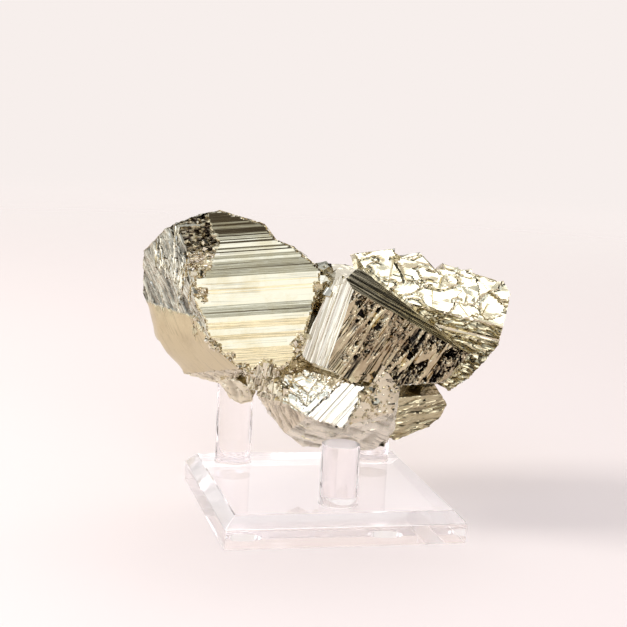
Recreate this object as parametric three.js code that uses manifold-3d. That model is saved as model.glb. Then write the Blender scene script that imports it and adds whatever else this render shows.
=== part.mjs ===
// A cluster of intergrown pyrite crystals resting on a clear acrylic display stand.
// Millimetres, +Z up. The origin is at the middle of the stand's underside, on the table,
// and the stand's front edge runs along X. The cluster is drawn in its own front view:
// X to the right, Y away from the viewer, Z up from the table, turned a little on the stand.

import * as THREE from "three";
import { ConvexGeometry } from "three/addons/geometries/ConvexGeometry.js";
import { mergeVertices } from "three/addons/utils/BufferGeometryUtils.js";
import Module from "manifold-3d";

const wasm = await Module();
wasm.setup();

// Driving sizes of the stand
const PLATE_SIDE = 76;
const PLATE_THICK = 9.8;
const PLATE_BEVEL = 3.5;
const PEG_DIAMETER = 12;
const PEG_SIDES = 32;
const PEG_EDGE = 0.5;
const SHORT_PEG = 19;
const TALL_PEG = 32;
const PEG_FRONT_Y = -24.5;
const PEG_BACK = { x: 24, y: 25 };
const GLUE_GAP = 0.05;

// Driving sizes of the cluster
const CLUSTER_TURN = THREE.MathUtils.degToRad(-13.9);
const REST_GAP = 0.3;
const FINE_GRAIN = [0.9, 1.9];
const GRAIN = [1.3, 2.8];
const CRUST = [2.2, 4.6];
const PIT_WIDTH = 1.5;
const PIT_DEPTH = 0.9;

const TURN = 2 * Math.PI;
const WELD = 1e-4;
const FAR = 200;

const METAL = new THREE.MeshStandardMaterial({ color: 0xcdbf92, roughness: 0.22, metalness: 1 });
const ACRYLIC = new THREE.MeshStandardMaterial({
  color: 0xf4f8f8,
  roughness: 0.03,
  metalness: 0,
  transparent: true,
  opacity: 0.3,
});

// Joining and cutting

// A closed three.js geometry as a solid.
function solid(geometry) {
  const bare = geometry.clone();
  bare.deleteAttribute("normal");
  bare.deleteAttribute("uv");
  const merged = mergeVertices(bare, WELD);
  return new wasm.Manifold(
    new wasm.Mesh({
      numProp: 3,
      vertProperties: merged.attributes.position.array,
      triVerts: new Uint32Array(merged.index.array),
    }),
  );
}

// A solid as a named three.js mesh.
function meshOf(body, name, material) {
  const made = body.getMesh();
  const geometry = new THREE.BufferGeometry();
  geometry.setAttribute("position", new THREE.BufferAttribute(made.vertProperties, 3));
  geometry.setIndex(new THREE.BufferAttribute(made.triVerts, 1));
  geometry.computeVertexNormals();
  return named(geometry, name, material);
}

function named(geometry, name, material) {
  const mesh = new THREE.Mesh(geometry, material);
  mesh.name = name;
  return mesh;
}

const joined = (bodies) => bodies.reduce((whole, body) => whole.add(body));

const point = (x, y, z) => new THREE.Vector3(x, y, z);

// A point moved by each [direction, distance] in turn.
const moved = (start, ...moves) =>
  moves.reduce((at, [direction, by]) => at.addScaledVector(direction, by), start.clone());

// The convex crystal that has these corners.
const crystalOf = (corners) => solid(new ConvexGeometry(corners));

// Repeatable chance, so that the same cluster grows every time.
function chance(seed) {
  let state = seed;
  return (low = 0, high = 1) => {
    state = (Math.imul(state, 1664525) + 1013904223) >>> 0;
    return low + ((high - low) * state) / 2 ** 32;
  };
}

// Crystal faces

// A flat face through `at` that looks along `facing`. `stripes` is the direction of its growth
// lines as the front view shows it, in x and z.
function face(at, facing, stripes) {
  const normal = point(...facing).normalize();
  const origin = point(...at);
  const depth = (x, z) =>
    origin.y - (normal.x * (x - origin.x) + normal.z * (z - origin.z)) / normal.y;
  const corner = (x, z) => point(x, depth(x, z), z);
  const [dx, dz] = stripes;
  const along = point(dx, depth(origin.x + dx, origin.z + dz) - origin.y, dz).normalize();
  const across = normal.clone().cross(along);
  if (across.z > 0) {
    across.negate();
    along.negate();
  }
  return { origin, normal, along, across, corner };
}

// The face through three corners, seen from the front, with its growth lines from `a` to `b`.
function faceThrough(a, b, c) {
  const facing = new THREE.Plane().setFromCoplanarPoints(a, b, c).normal;
  if (facing.y > 0) facing.negate();
  return face(a, facing, [b.x - a.x, b.z - a.z]);
}

// Removes all that stands proud of a striped surface. Each band is [width, tilt]: a tilt above 0
// turns it up, and one below 0 turns it down. `start` is the first band's distance from the
// face's origin, measured down the face, and `rise` how far it stands above the face.
function striped(crystal, { origin, normal, along, across }, start, bands, rise = -0.6) {
  const CLEAR = 60;
  const profile = new THREE.Shape();
  let down = start;
  let out = rise;
  profile.moveTo(down - CLEAR, CLEAR);
  profile.lineTo(down - CLEAR, out);
  profile.lineTo(down, out);
  for (const [width, tilt] of bands) {
    const angle = THREE.MathUtils.degToRad(tilt);
    down += width * Math.cos(angle);
    out += width * Math.sin(angle);
    profile.lineTo(down, out);
  }
  profile.lineTo(down + CLEAR, out);
  profile.lineTo(down + CLEAR, CLEAR);
  const waste = new THREE.ExtrudeGeometry(profile, { depth: 2 * CLEAR, bevelEnabled: false });
  waste.translate(0, 0, -CLEAR);
  waste.applyMatrix4(new THREE.Matrix4().makeBasis(across, normal, along).setPosition(origin));
  return crystal.subtract(solid(waste));
}

// Bands of chance widths, broad ones and steep narrow ones, that keep to one level.
function wanderingBands(seed, length, narrow, wide, steep) {
  const STRAY = 0.5;
  const random = chance(seed);
  const bands = [];
  let out = 0;
  for (let down = 0, turn = 1; down < length; turn = -turn) {
    const tread = random() < 0.55;
    const width = tread ? random(narrow, wide) : random(narrow * 0.6, narrow * 1.4);
    const lean = (tread ? random(0.1, 0.3) : random(0.6, 1)) * steep;
    const tilt = Math.abs(out) > STRAY ? -Math.sign(out) * lean : turn * lean;
    bands.push([width, tilt]);
    out += width * Math.sin(THREE.MathUtils.degToRad(tilt));
    down += width;
  }
  return bands;
}

// A stepped hollow in a face. Each step is [size, depth], its size as a share of the outline's.
function hoppered(crystal, { corner, normal }, outline, steps) {
  const CLEAR = 3;
  const rim = outline.map(([x, z]) => corner(x, z));
  const middle = rim.reduce((sum, at) => sum.add(at), point(0, 0, 0)).divideScalar(rim.length);
  return steps.reduce((whole, [size, depth]) => {
    const ring = rim.map((at) => middle.clone().lerp(at, size));
    const waste = [depth, -CLEAR].flatMap((by) => ring.map((at) => moved(at, [normal, -by])));
    return whole.subtract(crystalOf(waste));
  }, crystal);
}

// Removes what the front view shows inside an outline, right through. The cut slopes down
// towards the back, so that its floor doesn't show from in front.
function notched(crystal, outline) {
  const SLOPE = 0.3;
  const waste = [-FAR, FAR].flatMap((y) => outline.map(([x, z]) => point(x, y, z - SLOPE * y)));
  return crystal.subtract(crystalOf(waste));
}

// Small growths

// The sides from which growths are laid on the cluster, each with the place that its two
// window coordinates give and the way that it looks.
const SIDES = {
  front: { eye: (x, z) => point(x, -FAR, z), look: point(0, 1, 0) },
  back: { eye: (x, z) => point(x, FAR, z), look: point(0, -1, 0) },
};

// Chance spots on the stone that show inside a four-cornered window, with the way each faces.
function scattered(stone, { seed, count, side = "front", window }) {
  const random = chance(seed);
  const { eye, look } = SIDES[side];
  const target = meshOf(stone);
  const spots = [];
  const [a, b, c, d] = window;
  const { lerp } = THREE.MathUtils;
  for (let i = 0; i < count; i++) {
    const across = random();
    const down = random();
    const [u, v] = [0, 1].map((axis) =>
      lerp(lerp(a[axis], b[axis], across), lerp(d[axis], c[axis], across), down),
    );
    const hit = new THREE.Raycaster(eye(u, v), look).intersectObject(target)[0];
    if (hit) spots.push({ at: hit.point, out: hit.face.normal, random });
  }
  return spots;
}

// A little cube that has grown at any angle, more than half sunk in the surface.
function cubelet({ at, out, random }, [small, large]) {
  const edge = random(small, large);
  const box = new THREE.BoxGeometry(edge, edge * random(0.6, 1), edge * random(0.7, 1.4));
  const lie = new THREE.Euler(random(0, TURN), random(0, TURN), random(0, TURN));
  box.applyMatrix4(new THREE.Matrix4().makeRotationFromEuler(lie));
  const { x, y, z } = moved(at, [out, -edge / 5]);
  return solid(box.translate(x, y, z));
}

// A flat growth plate with uneven corners, lying on the surface and leaning a little.
function growthPlate({ at, out, random }, [small, large], thick) {
  const LEAN = 0.12;
  const up = moved(out, [point(random(-1, 1), random(-1, 1), random(-1, 1)), LEAN]).normalize();
  const right = point(0, 0, 1).cross(up).normalize();
  const back = up.clone().cross(right);
  const sides = Math.floor(random(5, 8));
  const corners = [];
  for (let i = 0; i < sides; i++) {
    const angle = ((i + random(-0.3, 0.3)) / sides) * TURN;
    const reach = random(small, large) / 2;
    const x = reach * Math.cos(angle);
    const y = reach * Math.sin(angle);
    corners.push(moved(at, [right, x], [back, y], [up, thick]));
    corners.push(moved(at, [right, x * 1.1], [back, y * 1.1], [up, -2 * thick]));
  }
  return crystalOf(corners);
}

// The waste of a long etched pit, which runs along `grain` as far as the surface allows.
function etchPit({ at, out, random }, grain, [short, long], width = PIT_WIDTH) {
  const LIFT = 0.4;
  const along = grain.clone().projectOnPlane(out).normalize();
  const across = along.clone().cross(out);
  const half = random(short, long) / 2;
  const reach = (random(0.5, 1) * width) / 2;
  const depth = random(0.4, 1) * PIT_DEPTH;
  const keel = half * random(0.2, 0.6);
  return crystalOf([
    moved(at, [along, half], [out, LIFT]),
    moved(at, [along, -half], [out, LIFT]),
    moved(at, [across, reach], [out, LIFT]),
    moved(at, [across, -reach], [out, LIFT]),
    moved(at, [along, keel], [out, -depth]),
    moved(at, [along, -keel], [out, -depth]),
  ]);
}

// Left crystal: the biggest, with a broad striped face towards the viewer

const LEFT_FRONT = face([-22, -12, 73], [-0.15, -0.9, 0.4], [1, 0.135]);

// From the crest down: a leaning top with fine lines, broad level bands, then a plain lowest one.
const LEFT_BANDS = [
  [4.2, 22], [0.7, 15], [0.7, 22], [1.3, 15], [2, 23], [0.6, 13], [0.5, 24], [1, 10],
  [0.4, 24], [0.4, 6], [0.8, 20], [1.4, 3], [0.7, 17], [0.6, 5], [0.5, 21], [1, 2],
  [1.1, 12], [0.9, 6], [2.5, 12], [0.4, 18], [2.6, 11.5], [1.9, 0], [0.3, -7], [1.6, 0],
  [0.6, -7], [0.5, 0], [0.3, -8], [3.9, 0], [1.3, 10.5], [1, 12], [0.4, 18], [1.4, 12],
  [1.6, 0], [2.2, -7], [1.9, 0], [1.6, -8], [2.8, 0], [6.6, -7],
];
const LEFT_START = -29;
const LEFT_RISE = -7;
const LEFT_BACK = face([-34, 33, 68], [-0.3, 0.93, 0.2], [1, -0.45]);
const LEFT_SIDE_GRAIN = point(0.32, 0, -0.95);

function leftCrystal() {
  const on = LEFT_FRONT.corner;
  const whole = crystalOf([
    on(-44, 95.5), on(-37, 97), on(-21, 93.5), on(-3, 81), on(-3, 77), on(-8, 56), on(-12, 52),
    on(-20, 50), on(-25, 50), on(-35, 56), on(-41, 68), on(-42, 85),
    point(-54, 10, 88.5), point(-61.5, 16, 80), point(-61.5, 17, 66), point(-57, 12, 49),
    point(-46, 8, 41), point(-33, 2, 39.5), point(-51, 3, 63), point(-22, 0, 41),
    point(-55.5, 7, 56), point(-47.5, 1, 51.5), point(-39, -5, 47),
    point(-50, 34, 82), point(-34, 36, 90), point(-14, 34, 84), point(-6, 26, 62),
    point(-18, 30, 42), point(-44, 32, 43), point(-57, 30, 64),
  ]);
  const front = striped(whole, LEFT_FRONT, LEFT_START, LEFT_BANDS, LEFT_RISE);
  const both = striped(front, LEFT_BACK, -30, wanderingBands(21, 60, 1.4, 5, 16));
  const shoulder = [[-17.4, 87.6], [-25, 98], [12, 98], [6, 79]];
  return notched(both, shoulder);
}

// Middle crystal: a tilted block with an etched front, a striped left side and a lined bevel

const MIDDLE_FRONT = face([16, -22, 62], [0.42, -0.88, -0.12], [0.55, 0.83]);
const MIDDLE_HEAD = MIDDLE_FRONT.corner(7, 78);
const MIDDLE_SIDE = faceThrough(MIDDLE_FRONT.corner(0, 53.3), MIDDLE_HEAD, point(-8.2, -21, 56.6));
const MIDDLE_BEVEL = faceThrough(MIDDLE_HEAD, MIDDLE_FRONT.corner(41, 58), point(9, -14, 82.4));

function middleCrystal() {
  const on = MIDDLE_FRONT.corner;
  const side = MIDDLE_SIDE.corner;
  const whole = crystalOf([
    on(7, 78), on(0, 53.3), on(6, 49.5), on(23, 46), on(37.5, 46.5), on(41, 58),
    side(5, 80.6), side(-8.2, 56.8), side(-6.7, 54.4), side(1, 79.5),
    point(1.5, -12, 81.5), point(9, -14, 82.4), point(46, -1, 54.5), point(40, 2, 44),
    point(30, 20, 40), point(38, 22, 58), point(16, 22, 76), point(-4, 10, 74),
    point(-6, 10, 52), point(8, 8, 44),
  ]);
  const front = striped(whole, MIDDLE_FRONT, -22, wanderingBands(8, 46, 1.1, 3.8, 24));
  const lined = striped(front, MIDDLE_SIDE, -13, wanderingBands(5, 12.6, 0.6, 1.7, 30));
  return striped(lined, MIDDLE_BEVEL, -10, wanderingBands(12, 18, 0.9, 2.2, 18));
}

// Right crystal: a block at the back, bright and lumpy above and ledged below

const RIGHT_FRONT = face([38, 4, 70], [0.16, -0.95, 0.26], [1, -0.22]);
const RIGHT_BACK = face([36, 31, 60], [0.25, 0.95, 0.1], [0.3, 1]);

function rightCrystal() {
  const on = RIGHT_FRONT.corner;
  const whole = crystalOf([
    on(7.5, 84.5), on(20, 86.3), on(36, 82.2), on(45, 79.5), on(54, 77.2), on(58.3, 73.5),
    on(58.6, 70.5), on(55.6, 56.5), on(48.6, 51.5), on(46.5, 46.5), on(40, 42),
    point(6, 12, 82.5), point(18, 30, 80), point(44, 33, 74), point(57, 30, 68),
    point(54, 30, 52), point(40, 32, 42), point(16, 28, 50),
  ]);
  const ledges = [[20, 0], ...wanderingBands(31, 24, 1, 2.8, 34)];
  const front = striped(whole, RIGHT_FRONT, -18, ledges);
  const both = striped(front, RIGHT_BACK, -28, wanderingBands(9, 50, 1.2, 4, 20));
  const dip = [[28.4, 81.9], [19.8, 87.2], [30, 95], [37, 82.4]];
  return notched(both, dip);
}

// Lower crystals: the belly of the cluster, which hangs between the pegs

const BELLY_TIP = point(-4.8, -28, 37.6);
const BELLY_CREST = point(3.4, -23.5, 46.8);
const BELLY_HOPPER = faceThrough(BELLY_TIP, BELLY_CREST, point(-12.8, -19, 47.7));
const BELLY_STRIPED = faceThrough(BELLY_TIP, BELLY_CREST, point(6.5, -25.5, 33.4));
const HOPPER_RIM = [[-12.8, 47.7], [-7.3, 50], [3.2, 46.8], [-4.9, 38], [-9.6, 40.2]];

function bellyCrystal() {
  const hopper = BELLY_HOPPER.corner;
  const stripe = BELLY_STRIPED.corner;
  const whole = crystalOf([
    BELLY_TIP, hopper(-13, 47.7), hopper(-7, 50.5), hopper(-10, 39.6),
    stripe(7, 48.4), stripe(13, 46.5), stripe(6.5, 33.4),
    point(-21.5, -10, 39.4), point(-18, 0, 31), point(-12, -9, 27), point(-6, -8, 22.5),
    point(-1, -9, 22.8), point(-14, 14, 44), point(0, 20, 30), point(14, 20, 50),
    point(-20, 6, 46), point(20, 8, 40), point(12, 4, 24),
  ]);
  const lined = striped(whole, BELLY_STRIPED, -1, wanderingBands(17, 14, 0.6, 2, 8));
  return hoppered(lined, BELLY_HOPPER, HOPPER_RIM, [[0.82, 0.5], [0.66, 1], [0.34, 1.7]]);
}

function bellyRightCrystal() {
  return crystalOf([
    point(12.5, -20, 46.5), point(17.5, -21, 53.5), point(23.6, -16, 44.8), point(22, -17, 37.8),
    point(9, -22, 36.8), point(7, -21, 33.5), point(23.2, -10, 30.5), point(20, -6, 23.2),
    point(14, -9, 22.6), point(2, -9, 23.4), point(3, 8, 26), point(22, 10, 28),
    point(22, 8, 48), point(8, 6, 50),
  ]);
}

// Between the left crystal's foot and the belly.
function bridgeCrystal() {
  return crystalOf([
    point(-27, -11, 50), point(-24, -13, 42), point(-15, -17, 41), point(-9, -17, 46),
    point(-8, -14, 53), point(-24, -8, 53), point(-22, 10, 50), point(-8, 10, 52),
    point(-14, 8, 38), point(-25, 6, 39),
  ]);
}

// The hidden middle of the cluster, which all the others have grown from.
function heartCrystal() {
  return crystalOf([
    point(-34, 2, 52), point(-34, 26, 52), point(-24, 2, 74), point(-14, 26, 74),
    point(4, -6, 72), point(34, 10, 72), point(30, 26, 70), point(36, 8, 50), point(32, 28, 44),
    point(4, -16, 50), point(22, -8, 42), point(-14, -8, 44), point(0, 0, 30), point(4, 24, 34),
    point(18, 4, 30), point(16, 26, 36),
  ]);
}

const FOOT_FRONT = faceThrough(point(24, 1, 31), point(39, 7, 34), point(30, 1.5, 38.6));

function footCrystal() {
  const on = FOOT_FRONT.corner;
  const whole = crystalOf([
    on(20, 38.6), on(38.4, 39.4), on(40.8, 35.2), on(38.6, 30), on(35.5, 27.4), on(24, 23),
    on(18, 26), point(20, 30, 38), point(36, 26, 40), point(34, 24, 30), point(22, 22, 26),
  ]);
  return striped(whole, FOOT_FRONT, -9, wanderingBands(14, 20, 0.6, 2.2, 24));
}

function smallLeftCrystal() {
  return crystalOf([
    point(-34.5, -3, 41.3), point(-30, -8, 44.6), point(-24, -11, 42), point(-22.5, -9, 37),
    point(-26.5, -5, 34.8), point(-30, -2, 35.8), point(-30, 6, 44), point(-20, 6, 42),
    point(-24, 4, 37),
  ]);
}

// Back crystals, which the front view hides

// The twelve-sided form that pyrite grows as, with five-sided faces.
function pyritohedron(radius, centre, [turn, lean], stretch = 1) {
  const corners = [];
  for (const a of [-1, 1])
    for (const b of [-1, 1]) {
      corners.push(point(0, a, b / 2), point(a, b / 2, 0), point(b / 2, 0, a));
      corners.push(point(a, b, a).multiplyScalar(2 / 3), point(a, b, -a).multiplyScalar(2 / 3));
    }
  const lie = new THREE.Euler(lean, 0, turn);
  const size = point(radius * stretch, radius, radius);
  const place = ([x, y, z]) => point(x, y, z);
  return crystalOf(corners.map((at) => at.multiply(size).applyEuler(lie).add(place(centre))));
}

const BACK_FACE = face([0, 43, 60], [0.1, 0.97, 0.2], [1, 0.2]);

function backCrystals() {
  const main = crystalOf([
    point(-20, 20, 76), point(4, 26, 77.5), point(20, 34, 74), point(24, 43, 60),
    point(14, 45, 43), point(-12, 44, 40), point(-26, 42, 56), point(-18, 40, 74),
    point(0, 14, 40), point(0, 10, 76), point(10, 24, 38), point(24, 30, 40),
  ]);
  return [
    striped(main, BACK_FACE, -20, wanderingBands(27, 42, 1.2, 5, 18)),
    pyritohedron(13, [-38, 26, 54], [0.4, 0.7], 1.2),
    pyritohedron(11, [33, 30, 48], [1.1, 0.4], 1.3),
    pyritohedron(9, [6, 34, 40], [0.2, 1.2], 1.4),
    pyritohedron(8, [-13, 38, 68], [0.8, 0.3]),
    pyritohedron(6, [26, 34, 74], [0.5, 0.9], 1.2),
    pyritohedron(5.5, [-6, 30, 34], [1.3, 0.5]),
    pyritohedron(4, [-3, 10, 76.4], [0.7, 0.2]),
  ];
}

// The cluster

// Little cubes that crust the joints and broken edges, as windows in one of the side views.
const CRUSTS = [
  // Between the left crystal's front and side
  { seed: 41, count: 26, window: [[-47, 92], [-40, 93], [-37, 55], [-43, 60]], size: FINE_GRAIN },
  { seed: 42, count: 7, window: [[-38, 56], [-34, 58], [-24, 50], [-28, 48]], size: FINE_GRAIN },
  // In the gap between the left and middle crystals
  { seed: 43, count: 12, window: [[-3, 79], [4, 80], [1, 74], [-4, 75]], size: GRAIN },
  { seed: 94, count: 8, window: [[-3, 77], [0, 77], [-8, 56], [-10, 57]], size: GRAIN },
  // Below the left crystal's striped face
  { seed: 45, count: 13, window: [[-25, 50], [-8, 53], [-9, 45], [-22, 42]], size: CRUST },
  { seed: 46, count: 7, window: [[-15, 47], [-11, 46], [-8, 38], [-16, 38]], size: GRAIN },
  // On the belly's grainy face and under the middle crystal
  { seed: 49, count: 9, window: [[13, 47], [22, 45], [21, 36], [9, 36]], size: GRAIN },
  { seed: 48, count: 8, window: [[4, 50], [16, 52], [14, 47], [5, 48]], size: GRAIN },
  // At the back
  { seed: 51, count: 8, side: "back", window: [[-30, 70], [-22, 74], [-22, 46], [-30, 48]], size: CRUST },
  { seed: 52, count: 6, side: "back", window: [[18, 72], [26, 70], [28, 42], [20, 42]], size: CRUST },
  { seed: 53, count: 6, side: "back", window: [[-16, 46], [16, 44], [14, 38], [-10, 38]], size: CRUST },
];

// Growth plates on the right crystal's upper front and crest.
const PLATES = [
  { seed: 61, count: 1, window: [[26, 80], [29, 80], [29, 77], [26, 77]], size: [15, 19], thick: 0.7 },
  { seed: 63, count: 5, window: [[32, 80], [44, 77], [46, 70], [34, 71]], size: [6, 10], thick: 0.7 },
  { seed: 62, count: 9, window: [[42, 79], [56, 75], [56, 66], [44, 69]], size: [4, 8], thick: 0.8 },
];

// Etched pits: along the middle crystal's growth lines, down the left crystal's side, and
// along the underside.
const PITS = [
  { seed: 71, count: 26, window: [[9, 76], [38, 58], [34, 48], [3, 53]], length: [4, 12],
    grain: MIDDLE_FRONT.along, width: PIT_WIDTH },
  { seed: 72, count: 10, window: [[22, 66], [38, 57], [36, 48], [22, 49]], length: [4, 10],
    grain: MIDDLE_FRONT.along, width: 2 * PIT_WIDTH },
  { seed: 73, count: 22, window: [[-57, 84], [-46, 92], [-42, 60], [-58, 64]], length: [7, 20],
    grain: LEFT_SIDE_GRAIN, width: 1.3 * PIT_WIDTH },
  { seed: 74, count: 8, window: [[-18, 38], [20, 34], [16, 25], [-6, 25]], length: [5, 12],
    grain: point(1, 0, -0.1), width: 0.8 * PIT_WIDTH },
];

function cluster() {
  const grown = joined([
    leftCrystal(),
    middleCrystal(),
    rightCrystal(),
    bellyCrystal(),
    bellyRightCrystal(),
    bridgeCrystal(),
    heartCrystal(),
    footCrystal(),
    smallLeftCrystal(),
    ...backCrystals(),
  ]);
  const pits = PITS.flatMap(({ grain, length, width, ...where }) =>
    scattered(grown, where).map((spot) => etchPit(spot, grain, length, width)),
  );
  const etched = grown.subtract(joined(pits));
  const plates = PLATES.flatMap(({ size, thick, ...where }) =>
    scattered(etched, where).map((spot) => growthPlate(spot, size, thick)),
  );
  const cubelets = CRUSTS.flatMap(({ size, ...where }) =>
    scattered(etched, where).map((spot) => cubelet(spot, size)),
  );
  return joined([etched, ...plates, ...cubelets]);
}

// Stand

// The square plate, with its top edges bevelled.
function plateGeometry() {
  const half = PLATE_SIDE / 2;
  const corners = [];
  for (const [reach, height] of [
    [half, 0],
    [half, PLATE_THICK - PLATE_BEVEL],
    [half - PLATE_BEVEL, PLATE_THICK],
  ])
    for (const [sx, sy] of [[1, 1], [1, -1], [-1, 1], [-1, -1]])
      corners.push(point(sx * reach, sy * reach, height));
  return new ConvexGeometry(corners);
}

// A round peg, standing on the plate, with its top edge eased.
function pegGeometry(height) {
  const radius = PEG_DIAMETER / 2;
  const profile = [
    [0, 0],
    [radius, 0],
    [radius, height - PEG_EDGE],
    [radius - PEG_EDGE, height],
    [0, height],
  ].map(([r, z]) => new THREE.Vector2(r, z));
  return new THREE.LatheGeometry(profile, PEG_SIDES).rotateX(Math.PI / 2);
}

const PEGS = [
  { name: "peg_front", x: 0, y: PEG_FRONT_Y, height: SHORT_PEG },
  { name: "peg_back_left", x: -PEG_BACK.x, y: PEG_BACK.y, height: TALL_PEG },
  { name: "peg_back_right", x: PEG_BACK.x, y: PEG_BACK.y, height: TALL_PEG },
];

function placedPeg({ name, x, y, height }) {
  const peg = named(pegGeometry(height - GLUE_GAP), name, ACRYLIC);
  peg.position.set(x, y, PLATE_THICK + GLUE_GAP);
  return peg;
}

// Where a peg meets the cluster, the stone is cut back to rest on it with a hair's gap.
function seated(stone) {
  return PEGS.reduce((whole, { x, y, height }) => {
    const radius = PEG_DIAMETER / 2 + REST_GAP;
    const top = PLATE_THICK + height + REST_GAP;
    const seat = new THREE.CylinderGeometry(radius, radius, top, PEG_SIDES).rotateX(Math.PI / 2);
    const place = point(x, y, top / 2).applyAxisAngle(point(0, 0, 1), -CLUSTER_TURN);
    seat.translate(place.x, place.y, place.z);
    return whole.subtract(solid(seat));
  }, stone);
}

const specimen = new THREE.Group();
specimen.rotation.z = CLUSTER_TURN;
specimen.add(meshOf(seated(cluster()), "pyrite_cluster", METAL));

const stand = new THREE.Group();
stand.add(
  named(plateGeometry(), "stand_plate", ACRYLIC),
  ...PEGS.map(placedPeg),
);

const model = new THREE.Group();
model.add(specimen, stand);

export default model;
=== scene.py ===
# %% [markdown]
# # A pyrite cluster on a clear acrylic stand
#
# Pyrite grows as cubes and twelve-sided crystals whose faces are ruled with fine steps. This
# specimen is a handful of them grown into each other, resting on three round pegs. The packed
# frame already holds every crystal at its real size. This lesson dresses it: it roughens what is
# rough on the real stone, leaves the mirror faces crisp, and lights both as a studio would.

import math

import bmesh
import bpy
from mathutils import Matrix, Quaternion, Vector, kdtree, noise


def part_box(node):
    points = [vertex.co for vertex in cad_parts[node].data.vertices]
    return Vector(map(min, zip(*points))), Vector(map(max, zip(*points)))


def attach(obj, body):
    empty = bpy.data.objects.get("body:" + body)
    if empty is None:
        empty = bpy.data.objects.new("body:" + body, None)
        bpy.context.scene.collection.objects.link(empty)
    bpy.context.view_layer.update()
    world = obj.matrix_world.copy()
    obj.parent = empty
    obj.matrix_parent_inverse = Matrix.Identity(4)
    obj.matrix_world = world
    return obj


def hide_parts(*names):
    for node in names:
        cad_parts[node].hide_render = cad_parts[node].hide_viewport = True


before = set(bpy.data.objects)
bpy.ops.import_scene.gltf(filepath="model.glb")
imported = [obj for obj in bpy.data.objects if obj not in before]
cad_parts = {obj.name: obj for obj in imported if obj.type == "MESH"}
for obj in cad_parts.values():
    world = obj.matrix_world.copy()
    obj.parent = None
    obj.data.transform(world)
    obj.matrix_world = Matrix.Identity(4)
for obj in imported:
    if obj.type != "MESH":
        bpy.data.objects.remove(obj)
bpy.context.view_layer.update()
bpy.ops.object.select_all(action="DESELECT")
MM = 0.001
print("nodes:", sorted(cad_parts))

# %% [markdown]
# ## The camera
#
# The photograph was taken with a long lens, a little to the left of the stand's front edge and
# slightly from above, with the camera tipped by almost three degrees. A camera fitted to the
# stand's corners gives the numbers below. The image is square, so one focal length serves.

# %% Add the camera
IMAGE_SIDE = 627
FOCAL_LENGTH_PX = 1630
SENSOR_MM = 36
AIM = Vector((-4.8, 0, 65)) * MM
CAMERA_DISTANCE = 519 * MM
CAMERA_AZIMUTH, CAMERA_ELEVATION, CAMERA_ROLL = -13.9, 10.3, 2.9


def direction(azimuth, elevation):
    """The way from the object to a place seen at these angles, in degrees."""
    a, e = math.radians(azimuth), math.radians(elevation)
    return Vector((math.sin(a) * math.cos(e), -math.cos(a) * math.cos(e), math.sin(e)))


back = direction(CAMERA_AZIMUTH, CAMERA_ELEVATION)
bpy.ops.object.camera_add(location=AIM + back * CAMERA_DISTANCE)
camera = bpy.context.object
camera.rotation_mode = "QUATERNION"
tip = Quaternion((0, 0, 1), math.radians(CAMERA_ROLL))
camera.rotation_quaternion = back.to_track_quat("Z", "Y") @ tip
camera.data.sensor_width = SENSOR_MM
camera.data.lens = FOCAL_LENGTH_PX * SENSOR_MM / IMAGE_SIDE
bpy.context.scene.camera = camera
print("lens:", round(camera.data.lens, 1), "mm")

# %% [markdown]
# ## Helpers for materials
#
# Colours are picked as sRGB hex values, as a paint chart gives them, and the renderer wants them
# linear, so one function turns them. A second function adds any node with its settings and links,
# which keeps each material down to one call for each node. A third starts an empty material.

# %% Colour and node helpers


def linear(hex_colour):
    """An sRGB hex colour as linear red, green, blue and alpha."""
    parts = [int(hex_colour[i : i + 2], 16) / 255 for i in (1, 3, 5)]
    return [p / 12.92 if p <= 0.04045 else ((p + 0.055) / 1.055) ** 2.4 for p in parts] + [1]


def add(tree, kind, inputs, **settings):
    """Adds a node. Each input is a value, or the output of another node to link to it."""
    made = tree.nodes.new("ShaderNode" + kind)
    for name, value in settings.items():
        setattr(made, name, value)
    for name, value in inputs.items():
        if isinstance(value, bpy.types.NodeSocket):
            tree.links.new(value, made.inputs[name])
        else:
            made.inputs[name].default_value = value
    return made


def new_material(name):
    """An empty node material and its output node."""
    material = bpy.data.materials.new(name)
    material.use_nodes = True
    tree = material.node_tree
    tree.nodes.clear()
    return material, tree, tree.nodes.new("ShaderNodeOutputMaterial")


# %% [markdown]
# ## The acrylic stand
#
# The real stand is cast acrylic: a bevelled plate with three rods welded on by solvent, which
# leaves no air at the joints. So the look needs one closed piece, because two clear solids with a
# hair of air between them would mirror each other. The plate starts as a cube whose top edges are
# bevelled, the pegs as cylinders, and a Boolean joins them. A last fine bevel breaks every edge,
# as flame polishing does, and that is where clear plastic catches the light.

# %% Modelling helpers


def activate(piece):
    """Makes a piece the only one selected, and the active one."""
    bpy.ops.object.select_all(action="DESELECT")
    piece.select_set(True)
    bpy.context.view_layer.objects.active = piece


def apply_modifiers(piece):
    """Applies a piece's modifiers in their order."""
    activate(piece)
    for modifier in list(piece.modifiers):
        bpy.ops.object.modifier_apply(modifier=modifier.name)


def settle(piece):
    """Puts a piece's place into its mesh, so that its object sits at the origin."""
    activate(piece)
    bpy.ops.object.transform_apply(location=True, rotation=True, scale=True)


# %% The plate and the pegs as primitives
PLATE_BEVEL = 3.5 * MM
EDGE_BREAK = 0.25 * MM
PEG_SIDES = 96
SINK = 1 * MM


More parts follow.
